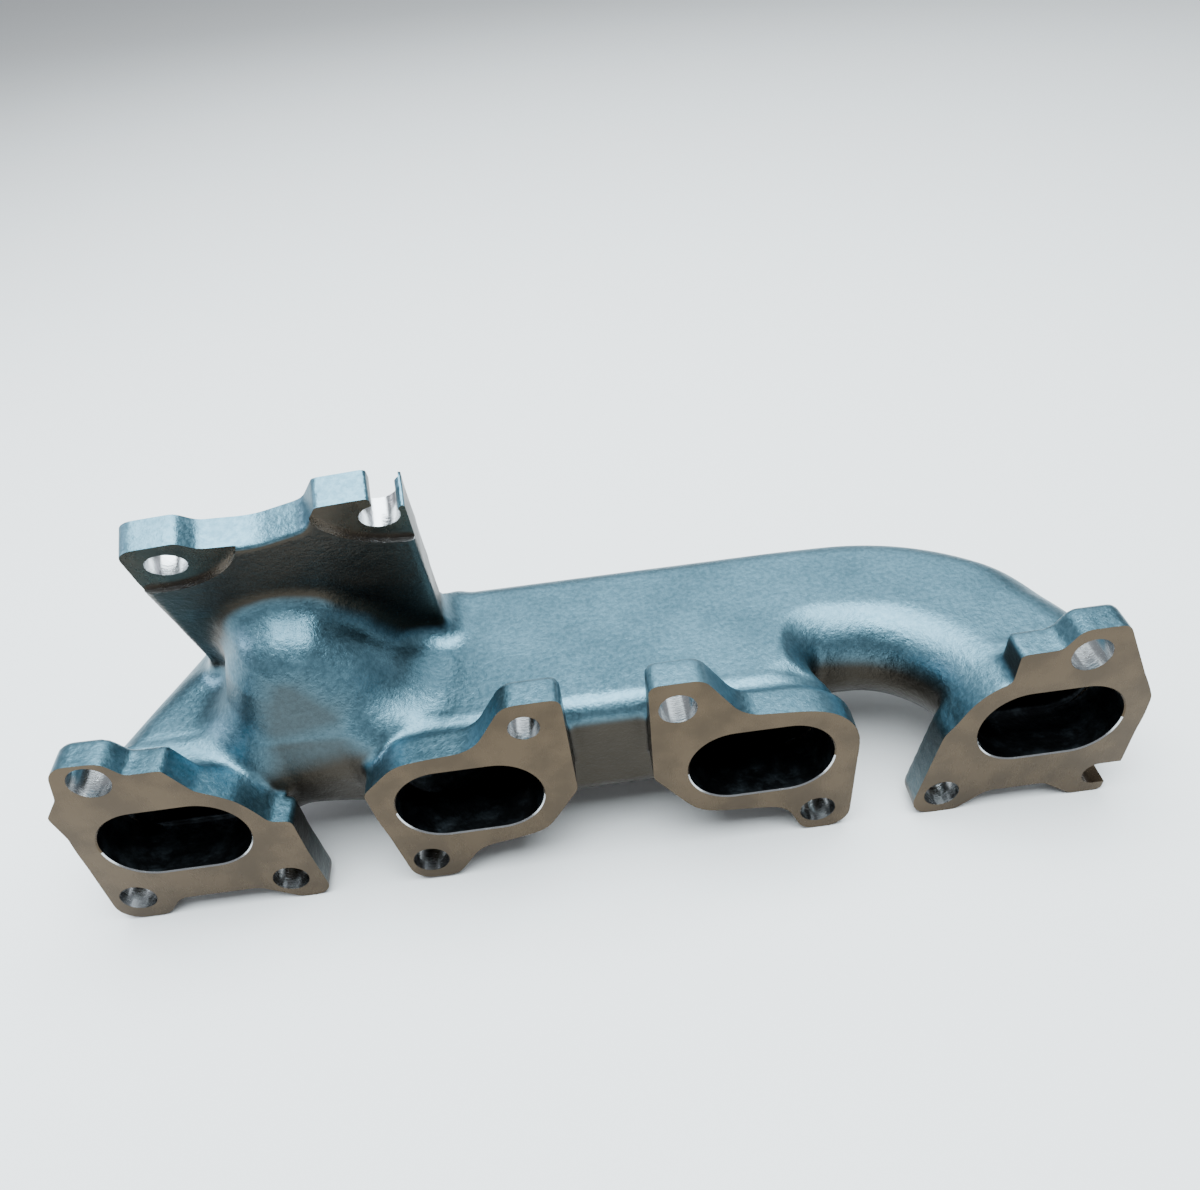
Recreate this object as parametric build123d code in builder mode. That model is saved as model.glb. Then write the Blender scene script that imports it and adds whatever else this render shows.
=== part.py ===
from build123d import *

import math
import os

# Four-port exhaust manifold with a single turbine outlet, in one casting.
# Millimetres, +Z up. The origin is the centre of the tight locating stud hole on the
# head face. The head face is the plane Y = 0, and the casting lies on +Y of it.
# The gallery runs along X, and port 1 is the leftmost one.

# Head face: ports, flange plate and stud holes
port_spacing = 90.0
port_width = 45.3
port_height = 29.0
port_2_x = -20.4
port_line_z = -29.2
head_flange_thickness = 10.5
locating_hole_radius = 4.7
stud_hole_radius = 5.7
end_hole_radius = 6.2
slot_height = 9.6
slot_depth = 13.0

# Gallery: the flat-topped duct that joins the ports
wall = 4.5
gallery_height = 41.0
gallery_edge_radius = 8.0
collar_reach = 6.0
runner_depth = 24.0
gallery_front = 12.0
gallery_back = 81.0
front_corner_radius = 10.0
saddle_front = 24.0
gap_root = 36.0
runner_3_lean = 7.5
collar_taper = 5.0
gallery_step = 18.0
gallery_step_edge = 4.0

# Runner 4: the elbow at the right-hand end
elbow_radius = 57.0
elbow_centre_y = 2.0
elbow_start = -14.0

# Collector: the domed chamber in front of the turbine flange
collector_back = 72.0
outer_wall_lean = 26.0
back_corner_radius = 16.0
dome_front = 14.0
dome_depth = 44.0
dome_top = 28.3
dome_front_radius = 15.0
dome_corner_radius = 18.0
dome_left_base_x = -97.4
dome_left_top_x = -86.9
dome_right_top_x = -53.5
dome_right_base_x = -27.4

# Turbine flange, measured in its own plane from the middle of its two upper holes
turbine_tilt = 24.7
turbine_yaw = 4.4
turbine_x = -58.1
turbine_y = 24.0
turbine_z = 59.1
turbine_thickness = 10.5
spot_face_depth = 1.5
spot_face_radius = 24.0
turbine_hole_radius = 5.5
turbine_hole_left = (-29.1, -3.2)
turbine_hole_right = (29.1, 3.2)
turbine_left_edge = -38.8
turbine_right_edge = 35.2
turbine_bottom = -102.0
tapped_hole_drop = 92.0
tapped_hole_radius = 4.25
tapped_hole_depth = 8.0
outlet_width = 38.0
outlet_height = 42.0
outlet_corner_radius = 16.0
outlet_centre = (-8.0, -63.5)
turbine_height_behind = 12.0
clear_above = -72.0

# Each head flange outline: corners (across, up, corner radius) from its port centre
flange_outlines = [
    [
        (-22.6, 38.0, 6.0), (-8.0, 37.6, 6.0), (-3.2, 31.5, 3.0), (7.0, 31.4, 1.5),
        (13.0, 20.8, 5.0), (22.0, 13.6, 8.0), (29.4, 2.8, 5.0), (35.8, 1.8, 2.0),
        (36.6, -13.0, 12.0), (39.0, -36.6, 8.0), (28.4, -36.6, 4.0), (17.0, -29.0, 8.0),
        (-8.5, -28.9, 5.0), (-14.5, -36.4, 5.0), (-29.9, -36.4, 10.0), (-29.3, 7.0, 8.0),
        (-31.0, 17.4, 1.5), (-25.6, 24.8, 4.0),
    ],
    [
        (32.0, 39.0, 3.0), (33.0, -1.2, 4.0), (21.5, -18.8, 10.0), (-0.5, -23.5, 10.0),
        (-9.4, -35.8, 6.0), (-23.4, -35.8, 7.0), (-30.7, 9.2, 4.0), (-19.2, 20.0, 12.0),
        (4.6, 22.4, 12.0), (15.1, 38.9, 7.0),
    ],
    [
        (-33.2, 39.0, 3.0), (-17.2, 39.1, 6.0), (-5.9, 22.3, 12.0), (30.4, 18.0, 17.0),
        (29.3, -36.8, 9.0), (14.2, -36.6, 5.0), (8.3, -23.4, 9.0), (-19.5, -20.1, 12.0),
        (-33.5, -1.1, 3.0),
    ],
    [
        (-15.0, 31.9, 1.2), (-3.0, 32.1, 4.0), (1.6, 38.8, 5.0), (15.2, 38.8, 4.0),
        (29.8, 6.4, 7.0), (27.8, -23.0, 0.8), (24.4, -32.6, 1.0), (24.2, -36.8, 2.0),
        (13.6, -36.8, 5.0), (3.6, -29.3, 6.0), (-15.4, -29.4, 6.0), (-25.0, -37.0, 5.0),
        (-41.0, -37.0, 11.0), (-33.2, 1.6, 10.0), (-15.7, 20.0, 4.0),
    ],
]
# Stud holes of each head flange: (across, up, radius) from its port centre
stud_holes = [
    [
        (-13.6, 30.2, end_hole_radius), (-20.9, -25.8, stud_hole_radius),
        (27.8, -26.4, stud_hole_radius),
    ],
    [
        (-port_2_x, -port_line_z, locating_hole_radius),
        (-16.9, -26.4, stud_hole_radius),
    ],
    [(-25.0, 28.6, stud_hole_radius), (18.7, -27.2, stud_hole_radius)],
    [(6.4, 28.4, end_hole_radius), (-30.5, -27.7, stud_hole_radius)],
]
slot_centre_z = -28.0
slot_open_x = 29.0

# Derived sizes and places
port_x = [port_2_x + (number - 1) * port_spacing for number in range(4)]
duct_half_width = port_width / 2 + wall
half_height = gallery_height / 2
gallery_top = port_line_z + half_height
gallery_bottom = port_line_z - half_height
inner_height = gallery_height - 2 * wall
inner_edge_radius = gallery_edge_radius - wall
inner_bend_radius = elbow_radius - duct_half_width
outer_bend_radius = gallery_back - elbow_centre_y
elbow_x = port_x[3] - elbow_radius
gallery_left_x = port_x[1] - 5.0
far = 400.0

tilt = math.radians(turbine_tilt)
yaw = math.radians(turbine_yaw)
# Spot-faced side of the turbine flange: its normal points back at the head
turbine_near = Plane(
    origin=(turbine_x, turbine_y, turbine_z),
    x_dir=(math.cos(yaw), math.sin(yaw), 0),
    z_dir=(math.sin(yaw) * math.cos(tilt), -math.cos(yaw) * math.cos(tilt), -math.sin(tilt)),
)
deck = Plane.XY.offset(port_line_z)


def port_plane(number, y):
    """The plane of the head face at a port's centre, moved y away from the head."""
    return Plane(origin=(port_x[number], y, port_line_z), x_dir=(1, 0, 0), z_dir=(0, -1, 0))


def cut_to_box(low, high):
    """Keep only what lies inside a box, given by its lowest and highest corners."""
    size = [b - a for a, b in zip(low, high)]
    with Locations(low):
        Box(*size, align=(Align.MIN, Align.MIN, Align.MIN), mode=Mode.INTERSECT)


with BuildPart() as gallery_outer:
    with BuildSketch(deck.offset(-half_height)) as gallery_plan:
        with BuildLine() as outline:
            outer_bend = CenterArc(
                (port_x[3] + duct_half_width - outer_bend_radius, elbow_centre_y),
                outer_bend_radius,
                start_angle=0,
                arc_size=90,
            )
            inner_bend = CenterArc(
                (elbow_x, gap_root - inner_bend_radius),
                inner_bend_radius,
                start_angle=0,
                arc_size=90,
            )
            FilletPolyline(
                outer_bend @ 1,
                (gallery_left_x + gallery_step_edge, gallery_back),
                (gallery_left_x + gallery_step_edge - gallery_step, collector_back),
                (port_x[0] - duct_half_width + outer_wall_lean, collector_back),
                (port_x[0] - duct_half_width, gallery_front),
                (port_x[0] + duct_half_width, gallery_front),
                (port_x[0] + duct_half_width + collar_taper, saddle_front),
                (port_x[1] - duct_half_width - collar_taper, saddle_front),
                (port_x[1] - duct_half_width, gallery_front),
                (port_x[2] + duct_half_width, gallery_front),
                (port_x[2] + duct_half_width - runner_3_lean, gap_root),
                inner_bend @ 1,
                radius=[14, 14, back_corner_radius, 9, 9, 6, 6, 9, 9, 6],
            )
            FilletPolyline(
                inner_bend @ 0,
                (elbow_x + elbow_radius - duct_half_width, elbow_start),
                (elbow_x + elbow_radius + duct_half_width, elbow_start),
                outer_bend @ 0,
                radius=12,
            )
        make_face()
    extrude(amount=gallery_height)
    rims = gallery_outer.edges().filter_by(Plane.XY)
    fillet(rims, gallery_edge_radius)

with BuildPart() as gallery_space:
    with BuildSketch(deck.offset(-half_height + wall)):
        add(gallery_plan.sketch_local)
        offset(amount=-wall, mode=Mode.REPLACE)
    extrude(amount=inner_height)
    fillet(gallery_space.edges().filter_by(Plane.XY), inner_edge_radius)


def dome(inset, edge_radius):
    """The collector's dome: a slanted profile run back from a rounded front edge."""
    front = Plane(origin=(0, dome_front + inset, 0), x_dir=(1, 0, 0), z_dir=(0, -1, 0))
    with BuildPart() as body:
        with BuildSketch(front):
            with BuildLine():
                FilletPolyline(
                    (dome_left_base_x + inset, port_line_z),
                    (dome_left_top_x + inset, dome_top - inset),
                    (dome_right_top_x - inset / 2, dome_top - inset),
                    (dome_right_base_x - 1.5 * inset, port_line_z),
                    radius=[dome_corner_radius - inset, dome_corner_radius - inset],
                )
                Line(
                    (dome_right_base_x - 1.5 * inset, port_line_z),
                    (dome_left_base_x + inset, port_line_z),
                )
            make_face()
        extrude(amount=-dome_depth)
        rim = body.faces().sort_by(Axis.Y)[0].edges().sort_by(Axis.Z)[1:]
        fillet(rim, edge_radius)
    return body.part


dome_outer = dome(0, dome_front_radius)
dome_space = dome(wall, dome_front_radius - wall)


def port_passage(number, start, length, clearance=0.0):
    """A port-shaped prism that runs away from the head, grown by a clearance."""
    with BuildPart() as passage:
        with BuildSketch(port_plane(number, start)):
            SlotOverall(port_width + 2 * clearance, port_height + 2 * clearance)
        extrude(amount=-length)
    return passage.part


# Everything inside the casting that the gas flows through
with BuildPart() as gas_space:
    add(gallery_space.part)
    add(dome_space)
    with BuildSketch(turbine_near.offset(spot_face_depth)):
        with Locations(((turbine_left_edge + turbine_right_edge) / 2, turbine_bottom - wall)):
            Rectangle(
                turbine_right_edge - turbine_left_edge + 2 * wall,
                far,
                align=(Align.CENTER, Align.MIN),
            )
    extrude(amount=-far, mode=Mode.SUBTRACT)
    for number in range(4):
        add(port_passage(number, -1.0, gallery_front + wall + 2.0))
    with BuildSketch(turbine_near.offset(turbine_height_behind)) as outlet:
        with Locations(outlet_centre):
            RectangleRounded(outlet_width, outlet_height, outlet_corner_radius)
    extrude(amount=-turbine_height_behind - turbine_thickness - 1.0)

# The whole outer skin behind the head flanges, hollowed out
with BuildPart() as casting:
    add(gallery_outer.part)
    add(dome_outer)
    for number in range(4):
        add(port_passage(number, head_flange_thickness, collar_reach, wall))
    with BuildSketch(turbine_near.offset(spot_face_depth)):
        with Locations(((turbine_left_edge + turbine_right_edge) / 2, turbine_bottom)):
            Rectangle(
                turbine_right_edge - turbine_left_edge,
                far,
                align=(Align.CENTER, Align.MIN),
            )
    extrude(amount=-far, mode=Mode.SUBTRACT)
    with BuildSketch(turbine_near.offset(spot_face_depth)):
        with Locations((0, clear_above)):
            Rectangle(far, far, align=(Align.CENTER, Align.MIN))
    extrude(amount=-far, mode=Mode.SUBTRACT)
    add(gas_space.part, mode=Mode.SUBTRACT)
    cut_to_box((-far, head_flange_thickness, -far), (far, far, far))

# Turbine flange plate: it stands against the collector, its sealing face away from the head
with BuildPart() as turbine_flange:
    with BuildSketch(turbine_near.offset(spot_face_depth)):
        with BuildLine():
            corners = [
                (turbine_left_edge, 6.8, 5.0),
                (-23.0, 6.8, 3.0),
                (-18.8, 2.2, 5.0),
                (-5.0, 0.2, 20.0),
                (10.0, 3.6, 5.0),
                (14.7, 12.4, 1.2),
                (27.9, 12.4, 0.8),
                (28.4, 3.0, 0.5),
                (turbine_right_edge, 3.0, 0.3),
                (turbine_right_edge, turbine_bottom, 12.0),
                (turbine_left_edge, turbine_bottom, 12.0),
            ]
            FilletPolyline(
                *[(across, up) for across, up, _ in corners],
                radius=[radius for _, _, radius in corners],
                close=True,
            )
        make_face()
    extrude(amount=-turbine_thickness)
    for (across, up), milled_x, milled_y in (
        (turbine_hole_left, -32.0, 9.0),
        (turbine_hole_right, 38.0, 18.0),
    ):
        with BuildSketch(turbine_near):
            with Locations((milled_x, milled_y)):
                Circle(spot_face_radius)
        extrude(amount=spot_face_depth + 1.0, mode=Mode.SUBTRACT)
        with BuildSketch(turbine_near.offset(spot_face_depth)):
            with Locations((across, up)):
                Circle(turbine_hole_radius)
        extrude(amount=-turbine_thickness, mode=Mode.SUBTRACT)
    with BuildSketch(turbine_near.offset(spot_face_depth - turbine_thickness)):
        with Locations(
            (turbine_hole_left[0], -tapped_hole_drop),
            (turbine_hole_right[0], -tapped_hole_drop),
        ):
            Circle(tapped_hole_radius)
    extrude(amount=tapped_hole_depth, mode=Mode.SUBTRACT)
    add(gas_space.part, mode=Mode.SUBTRACT)
turbine_flange.part.label = "turbine_flange"


def head_flange(number):
    """One head flange: the plate round a port, with its stud holes."""
    corners = flange_outlines[number]
    with BuildPart() as plate:
        with BuildSketch(port_plane(number, 0)):
            with BuildLine():
                FilletPolyline(
                    *[(across, up) for across, up, _ in corners],
                    radius=[radius for _, _, radius in corners],
                    close=True,
                )
            make_face()
            SlotOverall(port_width, port_height, mode=Mode.SUBTRACT)
            for across, up, radius in stud_holes[number]:
                with Locations((across, up)):
                    Circle(radius, mode=Mode.SUBTRACT)
            if number == 3:
                with Locations((slot_open_x - slot_depth + slot_height / 2, slot_centre_z)):
                    Circle(slot_height / 2, mode=Mode.SUBTRACT)
                    Rectangle(
                        far, slot_height, align=(Align.MIN, Align.CENTER), mode=Mode.SUBTRACT
                    )
        extrude(amount=-head_flange_thickness)
    return plate.part


def region(name, low, high):
    """The part of the casting inside a box, as one labelled piece."""
    with BuildPart() as piece:
        add(casting.part)
        cut_to_box(low, high)
    piece.part.label = name
    return piece.part


back = gallery_back + 20.0
right_half_front = gap_root - 12.0
head_flanges = [head_flange(number) for number in range(4)]
for number, plate in enumerate(head_flanges):
    plate.label = f"head_flange_{number + 1}"

port_2_left = port_x[1] - duct_half_width
port_2_right = port_x[1] + duct_half_width
port_3_left = port_x[2] - duct_half_width
port_3_right = port_x[2] + duct_half_width
port_1_right = port_x[0] + duct_half_width
under = gallery_bottom - 10.0
over = gallery_top + 60.0
pieces = [
    turbine_flange.part,
    *head_flanges,
    region("runner_1", (-far, 0, under), (dome_left_top_x, back, gallery_top)),
    region("collector", (dome_left_top_x, runner_depth, under), (gallery_left_x, back, gallery_top)),
    region("collector_dome", (-far, 0, gallery_top), (gallery_left_x + 30, back, over)),
    region("runner_2", (port_2_left, 0, under), (port_2_right, runner_depth, gallery_top)),
    region("saddle_wall", (dome_left_top_x, 0, under), (port_2_left, runner_depth, gallery_top)),
    region("gallery_left", (gallery_left_x, runner_depth, under), (port_2_right, back, gallery_top)),
    region("gallery_centre", (port_2_right, 0, under), (port_3_left, back, gallery_top)),
    region("runner_3", (port_3_left, 0, under), (port_3_right, right_half_front, gallery_top)),
    region("gallery_right", (port_3_left, right_half_front, under), (elbow_x, back, gallery_top)),
    region("runner_4", (elbow_x, 0, under), (far, back, over)),
]
os.makedirs("parts", exist_ok=True)
for piece in pieces:
    export_step(piece, f"parts/{piece.label}.step")
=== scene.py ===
"""Looks for a four-port cast exhaust manifold with one turbine outlet.

The casting is worked out as one smooth distance field, so that ducts, dome, flanges and
fillets flow into each other. Its skin is meshed, the machined faces and holes are cut
into it, and it is parted on the frame's own planes into one closed piece per node.
"""

import logging
import math
from dataclasses import dataclass, field
from enum import Enum
from typing import Any, Iterable, Optional, Sequence, Union

import bmesh
import bpy
import numpy as np
import openvdb
from mathutils import Matrix, Vector

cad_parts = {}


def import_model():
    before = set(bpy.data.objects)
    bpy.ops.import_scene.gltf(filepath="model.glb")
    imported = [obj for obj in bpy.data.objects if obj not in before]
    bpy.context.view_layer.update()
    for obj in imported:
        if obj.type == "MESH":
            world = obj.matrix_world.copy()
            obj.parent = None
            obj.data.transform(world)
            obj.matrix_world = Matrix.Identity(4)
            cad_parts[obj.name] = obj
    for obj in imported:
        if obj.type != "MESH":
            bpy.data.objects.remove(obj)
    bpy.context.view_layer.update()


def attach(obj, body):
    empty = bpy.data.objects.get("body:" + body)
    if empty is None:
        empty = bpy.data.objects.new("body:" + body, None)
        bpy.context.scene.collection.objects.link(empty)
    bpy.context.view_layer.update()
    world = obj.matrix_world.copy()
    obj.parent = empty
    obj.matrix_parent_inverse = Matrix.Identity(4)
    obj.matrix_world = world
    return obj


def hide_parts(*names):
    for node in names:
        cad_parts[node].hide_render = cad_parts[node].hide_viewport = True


log = logging.getLogger("manifold")

MM = 0.001
# The casting is laid out about the middle of ports 2 and 3; the frame starts at the
# locating hole, so every piece moves by this much, in millimetres.
LOCATING_HOLE_SHIFT = np.array([24.6, 0.0, -29.2])

Corner = tuple[float, float, float]
Point = tuple[float, float, float]
Span = tuple[float, float]


class Slot(Enum):
    """The record's material slots."""

    CAST = "cast_steel"
    MACHINED = "machined_steel"


# ---------------------------------------------------------------- distance-field maths


def round_union(a: np.ndarray, b: np.ndarray, radius: float) -> np.ndarray:
    """Join two bodies with a cove of a given radius where they meet.

    Args:
        a: Distance to the first body.
        b: Distance to the second body.
        radius: Radius of the cove, in millimetres.

    Returns:
        Distance to the joined body.
    """
    corner = np.hypot(np.maximum(radius - a, 0.0), np.maximum(radius - b, 0.0))
    return np.maximum(radius, np.minimum(a, b)) - corner


def round_meet(a: np.ndarray, b: np.ndarray, radius: Union[float, np.ndarray]) -> np.ndarray:
    """Keep what two bodies share, with the edge between them rounded.

    Args:
        a: Distance to the first body.
        b: Distance to the second body.
        radius: Radius of the rounded edge, one number or one for each point.

    Returns:
        Distance to the shared body.
    """
    corner = np.hypot(np.maximum(radius + a, 0.0), np.maximum(radius + b, 0.0))
    return np.minimum(-radius, np.maximum(a, b)) + corner


def ease(value: np.ndarray, start: float, stop: float) -> np.ndarray:
    """Go smoothly from 0 at start to 1 at stop."""
    t = np.clip((value - start) / (stop - start), 0.0, 1.0)
    return t * t * (3.0 - 2.0 * t)


def outline_distance(points: np.ndarray, across: np.ndarray, up: np.ndarray) -> np.ndarray:
    """Signed distance from a closed outline, negative inside.

    Args:
        points: The outline's corners, one row each.
        across: First coordinate of the places to measure.
        up: Second coordinate of the places to measure.

    Returns:
        Distances, in the shape that the two coordinates make together.
    """
    across, up = np.broadcast_arrays(across.astype(np.float32), up.astype(np.float32))
    best = np.full(across.shape, 1e12, np.float32)
    inside = np.zeros(across.shape, bool)
    for (ax, ay), (bx, by) in zip(points, np.roll(points, -1, axis=0)):
        ex, ey = bx - ax, by - ay
        wx, wy = across - ax, up - ay
        t = np.clip((wx * ex + wy * ey) / max(ex * ex + ey * ey, 1e-12), 0.0, 1.0)
        best = np.minimum(best, (wx - ex * t) ** 2 + (wy - ey * t) ** 2)
        if ay != by:
            crosses = (ay > up) != (by > up)
            inside ^= crosses & (wx < ex * (up - ay) / (by - ay))
    return np.where(inside, -1.0, 1.0).astype(np.float32) * np.sqrt(best)


def rounded_outline(corners: Iterable[Corner], steps: int = 8) -> np.ndarray:
    """Round the corners of a closed outline with arcs.

    Args:
        corners: Each corner as (across, up, radius).
        steps: Number of chords in each arc.

    Returns:
        Points of the rounded outline, one row each.
    """
    rows = [np.array(corner, float) for corner in corners]
    points: list[np.ndarray] = []
    for index, row in enumerate(rows):
        here, radius = row[:2], row[2]
        back = rows[index - 1][:2] - here
        ahead = rows[(index + 1) % len(rows)][:2] - here
        back_size, ahead_size = np.linalg.norm(back), np.linalg.norm(ahead)
        back, ahead = back / back_size, ahead / ahead_size
        half = math.acos(float(np.clip(back @ ahead, -1.0, 1.0))) / 2.0
        if radius <= 0.0 or half > math.radians(89.0):
            points.append(here)
            continue
        reach = min(radius / math.tan(half), 0.499 * back_size, 0.499 * ahead_size)
        radius = reach * math.tan(half)
        bisector = (back + ahead) / np.linalg.norm(back + ahead)
        centre = here + bisector * radius / math.sin(half)
        first = here + back * reach - centre
        last = here + ahead * reach - centre
        turn = math.atan2(first[0] * last[1] - first[1] * last[0], first @ last)
        for step in range(steps + 1):
            angle = turn * step / steps
            cos, sin = math.cos(angle), math.sin(angle)
            points.append(centre + (first[0] * cos - first[1] * sin, first[0] * sin + first[1] * cos))
    return np.array(points)


@dataclass
class Field:
    """A block of evenly spaced places in which the casting's distance is worked out.

    Args:
        low: Lowest corner, in millimetres.
        high: Highest corner, in millimetres.
        pitch: Distance from one place to the next.
    """

    low: Point = (-171.0, -4.0, -42.0)
    high: Point = (171.0, 86.0, 105.0)
    pitch: float = 1.0
    x: np.ndarray = field(init=False)
    y: np.ndarray = field(init=False)
    z: np.ndarray = field(init=False)

    def __post_init__(self) -> None:
        """Lay out the three coordinates so that they broadcast against each other."""
        spans = [np.arange(a, b, self.pitch, dtype=np.float32) for a, b in zip(self.low, self.high)]
        self.x = spans[0][:, None, None]
        self.y = spans[1][None, :, None]
        self.z = spans[2][None, None, :]

    def skin(self, values: np.ndarray) -> tuple[np.ndarray, np.ndarray]:
        """Mesh the surface where the distance is zero.

        Args:
            values: Distance at every place of the field.

        Returns:
            Points in millimetres, and triangles as rows of point numbers.
        """
        grid = openvdb.FloatGrid(background=float(3.0 * self.pitch))
        grid.copyFromArray(np.clip(values, -3.0 * self.pitch, 3.0 * self.pitch).astype(np.float32))
        grid.transform = openvdb.createLinearTransform(voxelSize=1.0)
        points, triangles, quads = grid.convertToPolygons(isovalue=0.0, adaptivity=0.0)
        split = np.vstack([quads[:, [0, 1, 2]], quads[:, [0, 2, 3]]])
        faces = np.vstack([triangles, split]) if len(triangles) else split
        return points * self.pitch + np.array(self.low), faces

    def sample(self, values: np.ndarray, places: np.ndarray) -> np.ndarray:
        """Read the field between its places.

        Args:
            values: Distance at every place of the field.
            places: Points in millimetres, one row each.

        Returns:
            One distance for each point.
        """
        spot = (places - np.array(self.low)) / self.pitch
        spot = np.clip(spot, 0.0, np.array(values.shape) - 1.001)
        base = spot.astype(int)
        part = spot - base
        total = np.zeros(len(places))
        for corner in range(8):
            step = np.array([corner & 1, corner >> 1 & 1, corner >> 2 & 1])
            weight = np.prod(np.where(step, part, 1.0 - part), axis=1)
            total += weight * values[tuple((base + step).T)]
        return total

    def slope(self, values: np.ndarray, places: np.ndarray) -> np.ndarray:
        """Outward direction of the skin at each point, as unit rows."""
        rows = np.zeros_like(places)
        for axis in range(3):
            step = np.zeros(3)
            step[axis] = self.pitch
            rows[:, axis] = self.sample(values, places + step) - self.sample(values, places - step)
        return rows / np.maximum(np.linalg.norm(rows, axis=1, keepdims=True), 1e-9)


# ---------------------------------------------------------------------- mesh building


def make_object(name: str, points: np.ndarray, faces: Sequence[Sequence[int]]) -> bpy.types.Object:
    """Make a mesh object from points in millimetres about the port line.

    Args:
        name: Name of the object.
        points: One row for each point.
        faces: Point numbers of each face.

    Returns:
        The new object, linked to the scene, in the frame's metres.
    """
    mesh = bpy.data.meshes.new(name)
    mesh.from_pydata(((points + LOCATING_HOLE_SHIFT) * MM).tolist(), [], [tuple(face) for face in faces])
    mesh.update()
    made = bpy.data.objects.new(name, mesh)
    bpy.context.scene.collection.objects.link(made)
    return made


def prism(
    name: str, outline: np.ndarray, base: np.ndarray, right: np.ndarray, top: np.ndarray, span: Span,
    far_outline: Optional[np.ndarray] = None,
) -> bpy.types.Object:
    """Make a prism that stands on an outline.

    Args:
        name: Name of the object.
        outline: Corners of the outline, in its own plane.
        base: Origin of the plane.
        right: Direction of the outline's first coordinate.
        top: Direction of its second coordinate.
        span: Where the prism starts and stops along the plane's normal.
        far_outline: Outline at the far end, if it tapers.

    Returns:
        The closed prism.
    """
    normal = np.cross(right, top)
    flat = base + outline[:, :1] * right + outline[:, 1:] * top
    last = outline if far_outline is None else far_outline
    far_flat = base + last[:, :1] * right + last[:, 1:] * top
    points = np.vstack([flat + normal * span[0], far_flat + normal * span[1]])
    count = len(outline)
    faces: list[list[int]] = [list(range(count))[::-1], list(range(count, 2 * count))]
    for index in range(count):
        after = (index + 1) % count
        faces.append([index, after, after + count, index + count])
    made = make_object(name, points, faces)
    shape = bmesh.new()
    shape.from_mesh(made.data)
    bmesh.ops.triangulate(shape, faces=[face for face in shape.faces if len(face.verts) > 4])
    bmesh.ops.recalc_face_normals(shape, faces=shape.faces)
    shape.to_mesh(made.data)
    shape.free()
    return made


def circle(centre: Span, radius: float, chords: int = 72) -> np.ndarray:
    """Points of a circle in a plane."""
    turn = np.arange(chords) * 2.0 * np.pi / chords
    return np.stack([centre[0] + radius * np.cos(turn), centre[1] + radius * np.sin(turn)], axis=1)


def slot_outline(width: float, height: float, chords: int = 32) -> np.ndarray:
    """Points of an oval port: a rectangle whose short ends are half circles."""
    radius = height / 2.0
    reach = width / 2.0 - radius
    turn = np.linspace(-np.pi / 2.0, np.pi / 2.0, chords + 1)
    right = np.stack([reach + radius * np.cos(turn), radius * np.sin(turn)], axis=1)
    return np.vstack([right, -right])


def block(name: str, low: Point, high: Point) -> bpy.types.Object:
    """A plain block between two corners, used only to cut or part the casting."""
    outline = np.array([(low[0], low[1]), (high[0], low[1]), (high[0], high[1]), (low[0], high[1])])
    return prism(name, outline, np.zeros(3), np.array([1.0, 0, 0]), np.array([0, 1.0, 0]), (low[2], high[2]))


def carve(target: bpy.types.Object, tool: bpy.types.Object, operation: str) -> None:
    """Combine a mesh with a cutter, in place, and drop the cutter.

    Args:
        target: The mesh to change.
        tool: The cutter.
        operation: DIFFERENCE or INTERSECT.
    """
    cut = target.modifiers.new("cut", "BOOLEAN")
    cut.operation = operation
    cut.solver = "MANIFOLD"
    cut.object = tool
    evaluated = target.evaluated_get(bpy.context.evaluated_depsgraph_get())
    mesh = bpy.data.meshes.new_from_object(evaluated)
    target.modifiers.remove(cut)
    old = target.data
    target.data = mesh
    bpy.data.meshes.remove(old)
    bpy.data.meshes.remove(tool.data)


# ------------------------------------------------------------------------ the casting

PORT_XS = (-135.0, -45.0, 45.0, 135.0)


@dataclass
class HeadFlange:
    """The plate round one port, milled flat on the head side.

    Args:
        number: Flange number, from 1 at the turbine end; not used.
        port_x: Place of the port's centre along the gallery.
        corners: Outline corners about the port's centre, each (across, up, radius).
        holes: Stud holes about the port's centre, each (across, up, radius).
        open_slot: Whether the lower outer stud goes in a slot open to the side.
    """

    number: int
    port_x: float
    corners: Sequence[Corner]
    holes: Sequence[Corner]
    open_slot: bool = False
    thickness: float = 10.5
    milling_stock: float = 2.5
    back_edge_radius: float = 1.8
    port_width: float = 45.3
    port_height: float = 29.0
    slot_height: float = 9.6
    slot_round_x: float = 20.8
    slot_z: float = -28.0
    chamfer: float = 0.4

    def body(self, space: Field) -> np.ndarray:
        """Distance to the plate before milling, with a rounded back edge."""
        outline = rounded_outline(self.corners) + (self.port_x, 0.0)
        flat = outline_distance(outline, space.x, space.z)
        thick = np.abs(space.y - (self.thickness - self.milling_stock) / 2.0)
        return round_meet(flat, thick - (self.thickness + self.milling_stock) / 2.0, self.back_edge_radius)

    def drills(self) -> list[bpy.types.Object]:
        """Cutters for the stud holes and the open slot, all along the studs."""
        right, top = np.array([1.0, 0, 0]), np.array([0, 0, 1.0])
        base = np.array([self.port_x, 0.0, 0.0])
        tools = []
        for across, up, radius in self.holes:
            span = (-self.thickness - 4.0, 2.0)
            tools.append(prism("drill", circle((across, up), radius), base, right, top, span))
        if self.open_slot:
            half = self.slot_height / 2.0
            arc = circle((self.slot_round_x, self.slot_z), half, 48)[12:37]
            mouth = np.array([(45.0, self.slot_z - half), (45.0, self.slot_z + half)])
            tools.append(prism("slot", np.vstack([arc, mouth]), base, right, top, (-20.0, 2.0)))
        return tools


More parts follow.
